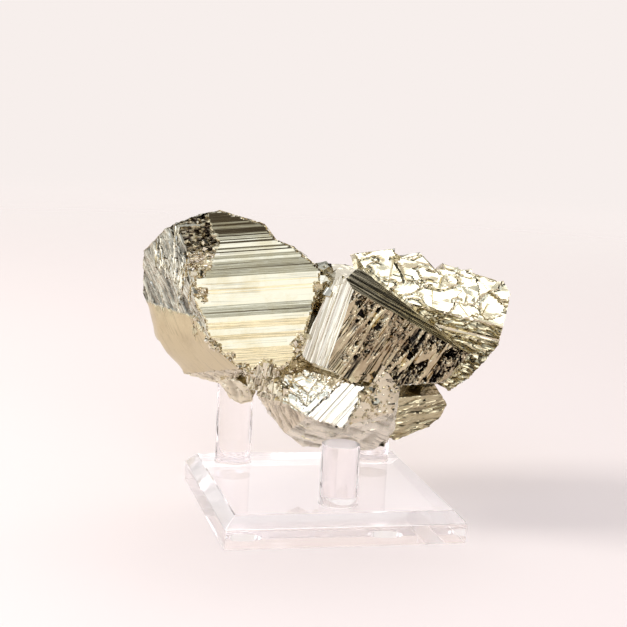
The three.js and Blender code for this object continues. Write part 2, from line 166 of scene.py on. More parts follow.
def add_plate(node):
    """The square plate, with its four top edges bevelled."""
    low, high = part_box(node)
    bpy.ops.mesh.primitive_cube_add(size=1, location=(low + high) / 2, scale=high - low)
    plate = bpy.context.object
    settle(plate)
    bpy.ops.object.mode_set(mode="EDIT")
    bpy.ops.mesh.select_all(action="DESELECT")
    bpy.ops.mesh.select_mode(type="EDGE")
    bpy.ops.object.mode_set(mode="OBJECT")
    for edge in plate.data.edges:
        edge.select = all(plate.data.vertices[v].co.z > high.z - EDGE_BREAK for v in edge.vertices)
    bpy.ops.object.mode_set(mode="EDIT")
    bpy.ops.mesh.bevel(offset=PLATE_BEVEL, segments=1, offset_type="OFFSET")
    bpy.ops.object.mode_set(mode="OBJECT")
    return plate


def add_peg(node):
    """A round peg that stands where the frame says, with its foot sunk in the plate."""
    low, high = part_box(node)
    foot = low.z - SINK
    bpy.ops.mesh.primitive_cylinder_add(
        vertices=PEG_SIDES,
        radius=(high.x - low.x) / 2,
        depth=high.z - foot,
        location=((low.x + high.x) / 2, (low.y + high.y) / 2, (high.z + foot) / 2),
    )
    peg = bpy.context.object
    settle(peg)
    return peg


# %% Weld the stand
PEG_NODES = ("peg_front", "peg_back_left", "peg_back_right")
EDGE_SEGMENTS, EDGE_ANGLE, SMOOTH_ANGLE = 3, 35, 30
FLAT_AREA = 60 * MM * MM
stand = add_plate("stand_plate")
stand.name = "stand_acrylic"
for node in PEG_NODES:
    peg = add_peg(node)
    union = stand.modifiers.new("weld", "BOOLEAN")
    union.operation = "UNION"
    union.solver = "EXACT"
    union.object = peg
    apply_modifiers(stand)
    bpy.data.objects.remove(peg)
edge_break = stand.modifiers.new("edge_break", "BEVEL")
edge_break.width = EDGE_BREAK
edge_break.segments = EDGE_SEGMENTS
edge_break.limit_method = "ANGLE"
edge_break.angle_limit = math.radians(EDGE_ANGLE)
apply_modifiers(stand)
bpy.ops.object.shade_smooth_by_angle(angle=math.radians(SMOOTH_ANGLE))
for polygon in stand.data.polygons:
    if polygon.area > FLAT_AREA:
        polygon.use_smooth = False
# Clear plastic hardly dims the floor, so the stand throws no shadow.
stand.visible_shadow = False
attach(stand, "root")
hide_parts("stand_plate", *PEG_NODES)
print("stand:", len(stand.data.polygons), "faces")

# %% [markdown]
# ## Clear cast acrylic
#
# Cast acrylic, polymethyl methacrylate, bends light a little less than window glass, at an index
# of 1.49, and is all but colourless: only the long way through the plate shows a faint warm
# tint, which a little absorption inside gives. Its faces are polished, so they stay almost
# perfectly smooth. The rods' sawn ends were only sanded, which leaves them satin, and so they
# catch the light where the rest is clear. So do the plate's bevels, which keep a trace of the
# mill.

# %% Acrylic material
ACRYLIC_IOR = 1.49
ACRYLIC_COLOUR, ACRYLIC_TINT = "#FEFCFC", "#F8F5F5"
POLISHED, SATIN, MILLED = 0.015, 0.3, 0.2
ABSORPTION_PER_METRE = 3.0
FACING_UP = 0.99
BEVEL_SLOPES = (0.6, 0.8)


def acrylic(name, roughness, transmission):
    """Clear acrylic with a surface as rough as given, and a share of its light let through."""
    material, tree, output = new_material(name)
    clear = add(tree, "BsdfPrincipled", {
        "Base Color": linear(ACRYLIC_COLOUR),
        "Roughness": roughness,
        "IOR": ACRYLIC_IOR,
        "Transmission Weight": transmission,
    })
    tint = add(tree, "VolumeAbsorption", {
        "Color": linear(ACRYLIC_TINT),
        "Density": ABSORPTION_PER_METRE,
    })
    tree.links.new(clear.outputs["BSDF"], output.inputs["Surface"])
    tree.links.new(tint.outputs["Volume"], output.inputs["Volume"])
    return material


# %% Give the stand its finishes
stand.data.materials.clear()
# Polished faces are all but invisible, and only their edges and reflections draw them.
stand.data.materials.append(acrylic("acrylic_cast_polished", POLISHED, transmission=1.0))
# A sanded end scatters the light, and shows as a soft bright disc.
stand.data.materials.append(acrylic("acrylic_sanded_end", SATIN, transmission=0.55))
# A milled bevel blurs what is behind it, which frames the plate in soft grey.
stand.data.materials.append(acrylic("acrylic_milled_bevel", MILLED, transmission=0.75))
plate_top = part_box("stand_plate")[1].z
for polygon in stand.data.polygons:
    if polygon.normal.z > FACING_UP and polygon.center.z > plate_top + SINK:
        polygon.material_index = 1
    elif BEVEL_SLOPES[0] < polygon.normal.z < BEVEL_SLOPES[1] and polygon.area > FLAT_AREA:
        polygon.material_index = 2
print("stand finishes:", [material.name for material in stand.data.materials])

# %% [markdown]
# ## The growth faces of the crystals
#
# Every broad face of a pyrite crystal has growth lines in one direction of its own, and its own
# habit: mirror-like and ruled, etched into ribs, or covered in plates. The habits could be given
# by hand in edit mode. A list is easier to change, so the faces are listed first, in the
# cluster's front view: X to the right, Y away, Z up, in millimetres. Each has a point on it, the
# way that it faces and the run of its lines, and later steps find a polygon's habit by looking
# up the face that it lies on.

# %% Describe a growth face
# The cluster stands turned on its stand, square to the camera.
CLUSTER_TURN = math.radians(CAMERA_AZIMUTH)
SAME_WAY, NEARLY_SAME_WAY = 0.86, 0.97
TO_FRONT = (Matrix.Rotation(-CLUSTER_TURN, 3, "Z") * (1 / MM)).to_4x4()


def in_window(place, window):
    """Whether a place is between two sides, and a bottom and a top, seen from the front."""
    left, right, bottom, top = window
    return left < place.x < right and bottom < place.z < top


class GrowthFace:
    """A crystal face: its habit, a point on it, the way it faces and the run of its lines."""

    def __init__(self, habit, at, facing, lines, reach=(-3, 2), window=None, likeness=SAME_WAY):
        self.habit, self.at, self.reach, self.window = habit, Vector(at), reach, window
        self.normal = Vector(facing).normalized()
        lines = Vector(lines)
        self.along = (lines - self.normal * lines.dot(self.normal)).normalized()
        self.across = self.normal.cross(self.along)
        self.likeness, self.area, self.finish = likeness, 0, habit

    def reaches(self, place):
        """Whether a place is near the face's plane and in its window, seen from the front."""
        if not self.reach[0] < (place - self.at).dot(self.normal) < self.reach[1]:
            return False
        return self.window is None or in_window(place, self.window)

    def spot(self, place):
        """How far a place is along the growth lines and across them."""
        way = place - self.at
        return way.dot(self.along), way.dot(self.across)


# %% Lines and planes of the faces


def seen_lines(facing, right, up):
    """The run of lines that look this steep from the front."""
    facing = Vector(facing)
    return right, -(facing.x * right + facing.z * up) / facing.y, up


def plane_of(a, b, c):
    """A point and the front-facing normal of the face through three corners."""
    a, b, c = Vector(a), Vector(b), Vector(c)
    facing = (b - a).cross(c - a)
    return a, facing if facing.y < 0 else -facing


# %% List the front's growth faces
LEFT_FRONT = (-0.15, -0.9, 0.4)
MIDDLE_FRONT = (0.42, -0.88, -0.12)
RIGHT_FRONT = (0.16, -0.95, 0.26)
LEFT_RULING = seen_lines(LEFT_FRONT, 1, 0.135)
MIDDLE_RULING = seen_lines(MIDDLE_FRONT, 0.55, 0.83)
RIGHT_RULING = seen_lines(RIGHT_FRONT, 1, -0.22)
LEFT_WINDOW, MIDDLE_WINDOW = (-47, 0, 48, 98), (-2, 44, 42, 80)
middle_side = plane_of((0, -28.4, 53.3), (7, -28.5, 78), (-8.2, -21, 56.6))
middle_bevel = plane_of((7, -28.5, 78), (41, -9.5, 58), (9, -14, 82.4))
belly_ruled = plane_of((-4.8, -28, 37.6), (3.4, -23.5, 46.8), (6.5, -25.5, 33.4))
belly_hopper = plane_of((-4.8, -28, 37.6), (3.4, -23.5, 46.8), (-12.8, -19, 47.7))
foot_front = plane_of((24, 1, 31), (39, 7, 34), (30, 1.5, 38.6))

GROWTH_FACES = [
    # The left crystal's striped front.
    GrowthFace("mirror", (-22, -12, 73), LEFT_FRONT, LEFT_RULING, (-9, 1), LEFT_WINDOW),
    # The middle crystal's narrow side, and the small crystal above the front peg.
    GrowthFace("ribbed", *middle_side, (7, 0, 24.7), window=(-10, 8, 50, 83)),
    GrowthFace("ruled", *belly_ruled, (8.2, 4.5, 9.2), (-3, 2), (-6, 12.5, 31, 50), NEARLY_SAME_WAY),
    GrowthFace("hopper", *belly_hopper, (8.2, 4.5, 9.2), (-4, 2), (-14, 5, 36, 52)),
    GrowthFace("grainy", (15, -20, 44), (0.2, -0.97, 0), (1, 0, 0), (-4, 4), (6, 26, 32, 47)),
    # The middle crystal's upper bevel and its etched front.
    GrowthFace("lined", *middle_bevel, (34, 19, -20), window=(1, 48, 52, 84)),
    GrowthFace("etched", (16, -22, 62), MIDDLE_FRONT, MIDDLE_RULING, window=MIDDLE_WINDOW),
    # The right crystal, with plates above and ledges below, and the foot under it.
    GrowthFace("plated", (38, 4, 70), RIGHT_FRONT, RIGHT_RULING, window=(8, 60, 66, 90)),
    GrowthFace("ledged", (38, 4, 70), RIGHT_FRONT, RIGHT_RULING, (-6, 2), (8, 60, 40, 72)),
    GrowthFace("striated", *foot_front, (1, 0, 0.1), window=(17, 42, 22, 41)),
    # Three broad faces at the back, ruled as those in front are.
    GrowthFace("mirror", (-34, 33, 68), (-0.3, 0.93, 0.2), (1, 0, -0.45)),
    GrowthFace("mirror", (36, 31, 60), (0.25, 0.95, 0.1), (0.3, 0, 1)),
    GrowthFace("mirror", (0, 43, 60), (0.1, 0.97, 0.2), (1, 0, 0.2)),
]
print("growth faces:", len(GROWTH_FACES))

# %% [markdown]
# ## The cluster
#
# A fine surface needs fine polygons, but only where the stone is rough: a mirror face is best
# left as one flat polygon. So a merged copy of the cluster is taken, its flat faces are cleaned
# of needless edges, and then just the rough faces are diced along and across their growth lines.

# %% Copy the cluster and clean its flat faces
SAME_CORNER = 0.005 * MM
FLAT_ANGLE = 0.5


def merged_copy(node, name):
    """A copy of a CAD node's mesh with its corners merged and its flat faces whole."""
    piece = bpy.data.objects.new(name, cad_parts[node].data.copy())
    bpy.context.scene.collection.objects.link(piece)
    piece.data.materials.clear()
    activate(piece)
    if piece.data.has_custom_normals:
        bpy.ops.mesh.customdata_custom_splitnormals_clear()
    bpy.ops.object.mode_set(mode="EDIT")
    bpy.ops.mesh.select_all(action="SELECT")
    bpy.ops.mesh.remove_doubles(threshold=SAME_CORNER)
    bpy.ops.mesh.dissolve_limited(angle_limit=math.radians(FLAT_ANGLE))
    bpy.ops.object.mode_set(mode="OBJECT")
    bpy.ops.object.shade_flat()
    return piece


cluster = merged_copy("pyrite_cluster", "pyrite_crystals")
print("cluster:", len(cluster.data.polygons), "flat faces")

# %% The habit of a face by its place
LUMPY_WINDOW, LUMPY_BACK = (-36, -22, 0, 45.5), 0
SPLINTERED_WINDOW, SPLINTERED_BACK = (-27, -8, 37, 51), -5
LEFT_CRYSTAL, LEFT_END = -24, -40
CRUST_FOOT, CRUST_END, CRUST_RISE = 64.5, Vector((-32, 0, 52)), 0.6
SMOOTH_FOOT, SMOOTH_HEAD = 34, 58
WORN_TOP, WORN_BACK = 40, 6
FACING_FRONT, FACING_LEFT, FACING_BACK, FACING_DOWN = -0.3, -0.15, 0.3, -0.45


def side_habit(place, normal):
    """The habit of a face that isn't listed, by where it is and the way it faces."""
    if in_window(place, LUMPY_WINDOW) and place.y < LUMPY_BACK:
        return "lumpy"
    front = place.y < SPLINTERED_BACK and normal.y < FACING_FRONT
    if front and in_window(place, SPLINTERED_WINDOW):
        return "splintered"
    left_side = normal.x < FACING_LEFT and normal.y < FACING_BACK and place.x < LEFT_CRYSTAL
    crust_foot = min(CRUST_FOOT, CRUST_END.z + CRUST_RISE * (CRUST_END.x - place.x))
    if left_side and place.z > crust_foot:
        return "crusted"
    if (left_side or place.x < LEFT_END) and SMOOTH_FOOT < place.z < SMOOTH_HEAD:
        return "smooth"
    underside = normal.z < FACING_DOWN or (place.z < WORN_TOP and place.y < WORN_BACK)
    return "worn" if underside else "terraced"


# %% Find each polygon's growth face
SMALL_AREA = 4
SPREADING = ("etched", "plated", "ledged", "grainy")
CRISP = ("mirror", "ruled")
RULINGS = {
    "crusted": Vector((0.38, -1.06, -1)),
    "smooth": Vector((0.75, 0, -0.6)),
    "splintered": Vector((0.15, 0, 1)),
}
TERRACE_AXIS = Vector((0.2, 0.3, 0.93))
IN_PLANE = (-0.8, 0.8)


def growth_face(place, normal, area):
    """The growth face of a polygon: a listed one, or one that is made for its plane."""
    for number, face in enumerate(GROWTH_FACES):
        like = normal.dot(face.normal)
        spreads = face.habit in SPREADING and area < SMALL_AREA
        if face.reaches(place) and (like > face.likeness or spreads):
            return number
    habit = side_habit(place, normal)
    lines = RULINGS.get(habit, normal.cross(TERRACE_AXIS))
    made = GrowthFace(habit, place, normal, lines, IN_PLANE, likeness=NEARLY_SAME_WAY)
    GROWTH_FACES.append(made)
    return len(GROWTH_FACES) - 1


grown = bmesh.new()
grown.from_mesh(cluster.data)
bmesh.ops.transform(grown, matrix=TO_FRONT, verts=grown.verts)
grown.normal_update()
belongs = grown.faces.layers.int.new("growth_face")
for polygon in sorted(grown.faces, key=lambda p: -p.calc_area()):
    area = polygon.calc_area()
    number = growth_face(polygon.calc_center_median(), polygon.normal, area)
    polygon[belongs] = number
    GROWTH_FACES[number].area += area
print("growth faces, with those made:", len(GROWTH_FACES))

# %% [markdown]
# ## Noise for the stone's relief
#
# Noise that is drawn out along the growth lines gives ribs, its folded form gives sharp crests,
# and Voronoi cells give plates and grains. A Displace modifier with a texture would push every
# corner one way, so the noise is worked out here, face by face. Each helper takes a spot's two
# distances on its face and a seed, so the same stone comes out every time.

# %% Noise helpers
NOISE_REACH, FOLD_REACH = 1.6, 2.4
LEAN_TURNS, GRAIN_SLOPE = 40, 1.1
# Odd factors this large make the digits of a sine look random.
SCATTER = (12.9898, 78.233, 43758.5453)


def wave(u, v, seed):
    """Smooth noise from about -1 to 1."""
    return NOISE_REACH * noise.noise(Vector((u, v, seed)))


def crest(u, v, seed):
    """Folded noise: 1 along sharp crests, down to 0 between them."""
    return 1 - min(1, abs(FOLD_REACH * noise.noise(Vector((u, v, seed)))))


def ramp(value, low, high):
    """0 below low, 1 above high, and a smooth rise between."""
    t = min(1, max(0, (value - low) / (high - low)))
    return t * t * (3 - 2 * t)


def chance(value):
    """A number from 0 to 1 that looks random, and is always the same for one value."""
    number = math.sin(value) * SCATTER[2]
    return number - math.floor(number)


def chip(u, v, seed):
    """For the Voronoi cell here: a chance number, how far its edge is, and its centre."""
    distances, points = noise.voronoi(Vector((u, v, seed)))
    number = chance(points[0].x * SCATTER[0] + points[0].y * SCATTER[1])
    return number, distances[1] - distances[0], points[0]


def facets(u, v, seed):
    """Grains with flat tops, each with a height and lean of its own, from about -1 to 1."""
    number, _, centre = chip(u, v, seed)
    lean = number * LEAN_TURNS
    slope = (u - centre.x) * math.cos(lean) + (v - centre.y) * math.sin(lean)
    return number - 0.5 + GRAIN_SLOPE * slope


# %% [markdown]
# ## Dice the rough faces
#
# A relief needs small polygons. Cutting a face by planes across and along its growth lines gives
# cells that follow the lines, so a fine ridge stays straight with few of them. The bisect tool
# cuts by one plane at a time, through all of a face. Halving the face first, and then each half,
# keeps every cut short. Each habit has its own cell, long and narrow where its relief is so.

# %% The size of each habit's cells
CELLS = {
    "etched": (0.48, 0.32),
    "hopper": (0.4, 0.4),
    "plated": (0.55, 0.5),
    "splintered": (1.0, 0.4),
    "striated": (1.2, 0.4),
    "lumpy": (0.8, 0.7),
    "chipped": (0.6, 0.5),
    "shattered": (0.6, 0.5),
    "ledged": (0.7, 0.35),
    "lined": (1.6, 0.35),
    "ribbed": (1.8, 0.25),
    "grainy": (0.45, 0.45),
    "crusted": (0.8, 0.4),
    "smooth": (1.4, 1.4),
    "worn": (3.0, 1.7),
    "terraced": (3.8, 2.2),
}
BACK_CELLS = 2.4
print("cells along and across the lines, in mm:", CELLS)

# %% Cut faces by planes
ON_PLANE = 1e-3


def crossing_corners(face, heights):
    """The two corners where a plane at height 0 leaves a convex face, made where there is none."""
    corners, edges = list(face.verts), [loop.edge for loop in face.loops]
    ends = []
    for i, (corner, edge) in enumerate(zip(corners, edges)):
        here, there = heights[i], heights[(i + 1) % len(corners)]
        if abs(here) <= ON_PLANE:
            ends.append(corner)
        elif here * there < 0 and abs(there) > ON_PLANE:
            ends.append(bmesh.utils.edge_split(edge, corner, here / (here - there))[1])
    return ends[0], ends[-1]


def dice(faces, at, step):
    """Cuts convex faces by planes one step apart, halving each face until none crosses it."""
    way = step / step.length_squared
    waiting, done = list(faces), []
    while waiting:
        face = waiting.pop()
        heights = [(v.co - at).dot(way) for v in face.verts]
        first, last = math.ceil(min(heights) + ON_PLANE), math.floor(max(heights) - ON_PLANE)
        if first > last:
            done.append(face)
            continue
        middle = (first + last) // 2
        ends = crossing_corners(face, [h - middle for h in heights])
        half = bmesh.utils.face_split(face, *ends)[0]
        if half is None:
            done.append(face)
            continue
        half[belongs] = face[belongs]
        waiting += [face, half]
    return done


def growth_members():
    """The polygons of each growth face, by its number."""
    members = {}
    for polygon in grown.faces:
        members.setdefault(polygon[belongs], []).append(polygon)
    return members


def dice_along_and_across(faces, face):
    """Cuts polygons into the cells that their habit needs."""
    coarser = BACK_CELLS if face.normal.y > 0 and face.habit == "chipped" else 1
    length, width = [size * coarser for size in CELLS[face.habit]]
    faces = dice(faces, face.at, face.along * length)
    return dice(faces, face.at, face.across * width)


# %% Dice the rough faces
LEAST_AREA, LEAST_SPLINTERED_AREA = 12, 6
SMOOTH_TOP, SMOOTH_END, LEAST_CRUSTED_TILT = 63.5, Vector((-31, 0, 52)), -0.3


def is_smoothed(place):
    """Whether a place on the left crystal's crust is low enough to be worn smooth."""
    return place.z < min(SMOOTH_TOP, SMOOTH_END.z + SMOOTH_END.x - place.x)


for number, faces in growth_members().items():
    face = GROWTH_FACES[number]
    if face.habit in CRISP:
        continue
    if face.area < (LEAST_SPLINTERED_AREA if face.habit == "splintered" else LEAST_AREA):
        face.habit = face.finish = "crumb"
        continue
    cells = dice_along_and_across(bmesh.ops.triangulate(grown, faces=faces)["faces"], face)
    if face.habit == "crusted" and face.normal.z > LEAST_CRUSTED_TILT:
        GROWTH_FACES.append(GrowthFace("smooth", face.at, face.normal, RULINGS["smooth"]))
        for cell in cells:
            if is_smoothed(cell.calc_center_median()):
                cell[belongs] = len(GROWTH_FACES) - 1
print("cells:", len(grown.faces))

# %% [markdown]
# ## Chipped rims
#
# Where a mirror face ends against its neighbours its rim is chipped, a little everywhere and more
# in one broken corner. Dicing the whole face would waste polygons on flat metal, so it is first
# cut into coarse pieces, and only those near the rim are diced. A search tree of places along the
# rim then gives each corner its distance from it. The back, which the photo doesn't show, gets
# coarser pieces and cells.

# %% Measure how far a rim is
PIECE, RIM_STEP, RIM_SHARE = 1.4, 0.3, 0.7
CHIPS_REACH, BROKEN_REACH = 0.7, 3.6
BROKEN_CORNER, BROKEN_INNER, BROKEN_OUTER = Vector((-43, 0, 85)), 7, 10
SHATTERED_FROM, SHATTERED_REACH = 83, 12


def rim_tree(faces, number):
    """A search tree of places along the edges where a growth face meets another one."""
    edges = {edge for face in faces for edge in face.edges}
    rims = [e for e in edges if any(f[belongs] != number for f in e.link_faces)]
    places = []
    for edge in sorted(rims, key=lambda e: tuple(e.verts[0].co) + tuple(e.verts[1].co)):
        count = 1 + int(edge.calc_length() / RIM_STEP)
        places += [edge.verts[0].co.lerp(edge.verts[1].co, i / count) for i in range(count)]
    tree = kdtree.KDTree(len(places))
    for i, place in enumerate(places):
        tree.insert(place, i)
    tree.balance()
    return tree


def chips_reach(place):
    """How far the chips reach in from the rim near a place."""
    away = Vector((place.x - BROKEN_CORNER.x, 0, place.z - BROKEN_CORNER.z)).length
    broken = 1 - ramp(away, BROKEN_INNER, BROKEN_OUTER)
    return CHIPS_REACH + (BROKEN_REACH - CHIPS_REACH) * broken


def shatters(place):
    """Whether a place is in the upper, browner half of the broken corner."""
    return place.z > SHATTERED_FROM and (place - BROKEN_CORNER).xz.length < SHATTERED_REACH


# %% Dice the rims of the mirror faces
rim_gap = grown.verts.layers.float.new("rim_gap")
for number, faces in growth_members().items():
    face = GROWTH_FACES[number]
    if face.habit not in CRISP:
        continue
    tree = rim_tree(faces, number)
    faces = bmesh.ops.triangulate(grown, faces=faces)["faces"]
    side = PIECE * (BACK_CELLS if face.normal.y > 0 else 1)
    faces = dice(faces, face.at, face.along * side)
    faces = dice(faces, face.at, face.across * side)
    near = []
    for polygon in faces:
        place = polygon.calc_center_median()
        if tree.find(place)[2] < chips_reach(place) + RIM_SHARE * side:
            near.append(polygon)
    for habit in ("chipped", "shattered"):
        pieces = [p for p in near if (habit == "shattered") == shatters(p.calc_center_median())]
        rim = GrowthFace(habit, face.at, face.normal, face.along)
        rim.finish = habit if face.habit == "mirror" else face.habit
        GROWTH_FACES.append(rim)
        for piece in pieces:
            piece[belongs] = len(GROWTH_FACES) - 1
        for cell in dice_along_and_across(pieces, rim):
            for vertex in cell.verts:
                vertex[rim_gap] = tree.find(vertex.co)[2]
print("cells, with the rims:", len(grown.faces))

# %% [markdown]
# ## The relief of each habit
#
# Each relief is a depth in millimetres, worked out from a spot's two distances on its face.
# It is cut in, and hardly anywhere stands out, so the part keeps the frame's size. A metal shows
# a relief by the way its small slopes mirror the room, so a lean of ten degrees matters more than
# the depth.
# A distance divided by a size gives noise with features of that size: u / 18 and v / 1.2 give
# ribs 18 mm long and 1.2 mm apart. Sculpting would give the same look, but not in a script.

# %% Reliefs of the etched and the stepped faces


def etched(u, v, seed):
    """Ribs at one side, tangled curls at the other, and glassy hollows at the lower edge."""
    bend = v + 0.5 * wave(u / 8, v / 8, seed)
    ribs = crest(u / 18, bend / 1.2, seed + 1) ** 2
    curl_u = u + 1.6 * wave(u / 2.8, v / 2.8, seed + 2)
    curl_v = v + 1.5 * wave(u / 2.6, v / 2.6, seed + 3)
    long_curls = crest(curl_u / 3.6, curl_v / 1.1, seed + 4)
    steep_curls = crest(curl_u / 1.5, curl_v / 3, seed + 5)
    curls = 1 - max(long_curls, steep_curls)
    tangled = ramp(wave(u / 7, v / 8, seed + 6) + 0.05 * u, -0.35, 0.15)
    glassy = ramp(-v, 8, 12)
    kept = 1 - ramp(crest(u / 30, v / 4, seed + 7), 0.72, 0.85)
    return 0.03 + kept * (0.6 * (1 - tangled) * ribs + (0.9 * tangled + 0.7 * glassy) * curls)


def hopper(u, v, seed):
    """Nested angular grooves, where the face grew faster at its edges than in its middle."""
    nested = min(abs(v), abs(u)) / 3.2 + 0.13 * wave(u / 3, v / 3, seed)
    groove = ramp(abs(nested - math.floor(nested) - 0.5), 0.34, 0.46)
    scratch = ramp(crest((abs(u) - abs(v)) / 1.6, (abs(u) + abs(v)) / 12, seed + 1), 0.88, 1)
    return 0.04 + 0.3 * groove + 0.22 * scratch + 0.06 * wave(u / 2.5, v / 2.5, seed + 2)


def plated(u, v, seed):
    """Plates at levels of their own, with soft folds, and grooves between some of them."""
    bend_u = u + 2.2 * wave(u / 6, v / 5, seed)
    bend_v = v + 1.8 * wave(u / 6, v / 5, seed + 5)
    level, edge, _ = chip(bend_u / 10, bend_v / 6, seed)
    open_here = ramp(wave(u / 5, v / 4, seed + 2), 0.2, 0.5)
    groove = open_here * (1 - ramp(edge, 0.01, 0.06))
    folds = ramp(crest(bend_u / 11, bend_v / 3.4, seed + 3), 0.75, 1.0)
    swell = 0.16 * wave(u / 4.5, v / 3, seed + 1)
    return 0.15 + 0.3 * level + 0.4 * groove + 0.35 * folds + swell


def ledged(u, v, seed):
    """Ledges that each deepen away from the one above."""
    count = v / 2.3 + 1.3 * wave(u / 7, v / 9, seed) + 0.3 * wave(u / 2.2, v / 2.2, seed + 1)
    ledge = count - math.floor(count)
    return 0.1 + 0.65 * ledge ** 2 + 0.25 * (1 - crest(u / 4, v / 1.1, seed + 2))


# %% Reliefs of the lined faces


def lined(u, v, seed):
    """Shallow lines, wide ones under fine ones."""
    return 0.1 * (1 - crest(u / 40, v / 1.3, seed)) + 0.05 * (1 - crest(u / 15, v / 0.7, seed + 1))


def striated(u, v, seed):
    """Wavy ridges of short blades."""
    bend = v + 0.5 * wave(u / 7, v / 5, seed)
    return 0.5 * (1 - crest(u / 11, bend / 1.6, seed + 1)) + 0.3 * chip(u / 2.6, v / 0.9, seed)[0]


def ribbed(u, v, seed):
    """Straight flat ribs with narrow gaps."""
    gap = ramp(wave(u / 30, v / 0.5, seed), 0.1, 0.4)
    return 0.03 + 0.24 * gap + 0.05 * crest(u / 12, v / 0.8, seed + 1)


def splintered(u, v, seed):
    """Upright splinters."""
    bend = v + 0.5 * wave(u / 5, v / 4, seed)
    return 0.05 + 0.6 * crest(u / 7, bend / 1.3, seed + 1) + 0.4 * chip(u / 4, bend / 1.2, seed)[0]


# %% Reliefs of the broken and the worn faces


def grainy(u, v, seed):
    """Grains with pits between them."""
    pits = ramp(wave(u / 1.3, v / 1.1, seed + 1), 0.45, 0.65)
    return 0.15 + 0.16 * facets(u / 2.2, v / 1.6, seed) + 0.45 * pits


def lumpy(u, v, seed):
    """Blunt lumps."""
    return 0.5 + 0.35 * facets(u / 2.6, v / 2.2, seed) + 0.3 * wave(u / 4, v / 4, seed + 1)


def crusted(u, v, seed):
    """A crust in broken ridges that run down the crystal's side."""
    bend = v + 0.6 * wave(u / 10, v / 6, seed)
    ridge = crest(u / 18, bend / 2.4, seed + 1)
    ribs = crest(u / 10, bend / 0.85, seed + 2)
    broken = ramp(wave(u / 6, v / 4, seed + 3), -0.1, 0.4)
    flakes = 0.12 * broken * (1 + facets(u / 1.8, v / 0.7, seed))
    return 0.1 + 0.42 * (1 - ridge) + 0.25 * (1 - ribs) + flakes


def chipped(u, v, seed):
    """Slanting shards with pits."""
    pits = ramp(wave(u / 1.6, v / 1.1, seed + 1), 0.3, 0.55)
    shards = facets((u + 0.4 * v) / 1.5, (v - 0.5 * u) / 0.7, seed)
    return 0.35 + 0.4 * shards + 0.5 * pits


def shattered(u, v, seed):
    """Deeper and coarser chips."""
    return 0.15 + chipped(u * 0.8, v * 0.8, seed) + 0.4 * crest(u / 2.5, v / 1.5, seed + 4)


def smooth(u, v, seed):
    """A trace of lines that wear has left."""
    return 0.05 * (1 - crest(u / 12, v / 1.5, seed))


def worn(u, v, seed):
    """Soft folds with low plates and a few cracks."""
    bend = v + 0.9 * wave(u / 8, v / 6, seed)
    folds = crest(u / 9, bend / 2.6, seed + 1)
    cracked = ramp(wave(u / 9, v / 7, seed + 3), 0.1, 0.4)
    cracks = cracked * ramp(crest(u / 6, bend / 2.2, seed + 2), 0.8, 0.95)
    return 0.65 * (1 - folds) + 0.3 * chip(u / 4.5, v / 2.2, seed)[0] + 0.5 * cracks


def terraced(u, v, seed):
    """Flat steps at chance levels, with fine lines on them."""
    count = v / 4.5 + 0.7 * wave(u / 14, v / 12, seed) + 0.15 * wave(u / 2.5, v / 2.5, seed + 1)
    level = chance(math.floor(count) * SCATTER[0] + seed)
    fine = 0.12 * (1 - crest(u / 9, v / 1.3, seed + 2))
    return 0.45 * level + fine


RELIEFS = {relief.__name__: relief for relief in (
    etched, hopper, plated, ledged, lined, striated, ribbed, splintered, grainy, lumpy, crusted,
    chipped, shattered, smooth, worn, terraced,
)}
print("reliefs:", len(RELIEFS))

# %% Cut the reliefs in
SEED_STEP = 7.31
CHIP_WAVER = 0.5
CRISP_LIMIT = 0.4
# A normal that the others nearly make up between them bars no further way.
LEAST_REST = 0.05


def depth_at(vertex, number):
    """How deep the relief of a growth face is at a vertex."""
    face = GROWTH_FACES[number]
    u, v = face.spot(vertex.co)
    depth = RELIEFS[face.habit](u, v, number * SEED_STEP)
    if face.habit not in ("chipped", "shattered"):
        return depth
    reach = chips_reach(vertex.co)
    gap = vertex[rim_gap] + CHIP_WAVER * reach * wave(u / 2, v / 2, 3)
    return max(0, depth) * (1 - ramp(gap, reach / 2, reach))


def shift(vertex):
    """Moves a vertex in from the rough faces around it, and only along the crisp ones."""
    depths, crisp = {}, []
    for polygon in vertex.link_faces:
        number = polygon[belongs]
        if GROWTH_FACES[number].habit in RELIEFS:
            depths[number] = GROWTH_FACES[number].normal
        else:
            crisp.append(polygon.normal)
    move = Vector()
    for number, normal in depths.items():
        move -= normal * depth_at(vertex, number) / len(depths)
    barred = []
    for normal in crisp:
        rest = normal - sum((b * normal.dot(b) for b in barred), Vector())
        if rest.length > LEAST_REST:
            barred.append(rest.normalized())
    for b in barred:
        move -= b * move.dot(b)
    if barred and move.length > CRISP_LIMIT:
        move *= CRISP_LIMIT / move.length
    return move


grown.normal_update()
moves = [shift(vertex) for vertex in grown.verts]
for vertex, move in zip(grown.verts, moves):
    vertex.co += move
print("deepest cut:", round(max(m.length for m in moves), 2), "mm")

# %% [markdown]
# ## Round the worn side
#
# The left crystal's lower side is worn to a soft bulge, where the frame has flat facets. A
# Subdivision Surface modifier would round its border too, and every other face. Smoothing just
# the corners inside it, over and over, takes no new polygons and leaves the border where it is.

# %% Round the smooth face
ROUNDS, SMOOTHING = 200, 0.5
rounded = [
    v for v in grown.verts if all(GROWTH_FACES[f[belongs]].habit == "smooth" for f in v.link_faces)
]
for _ in range(ROUNDS):
    bmesh.ops.smooth_vert(
        grown, verts=rounded, factor=SMOOTHING, use_axis_x=True, use_axis_y=True, use_axis_z=True
    )
print("rounded corners:", len(rounded))
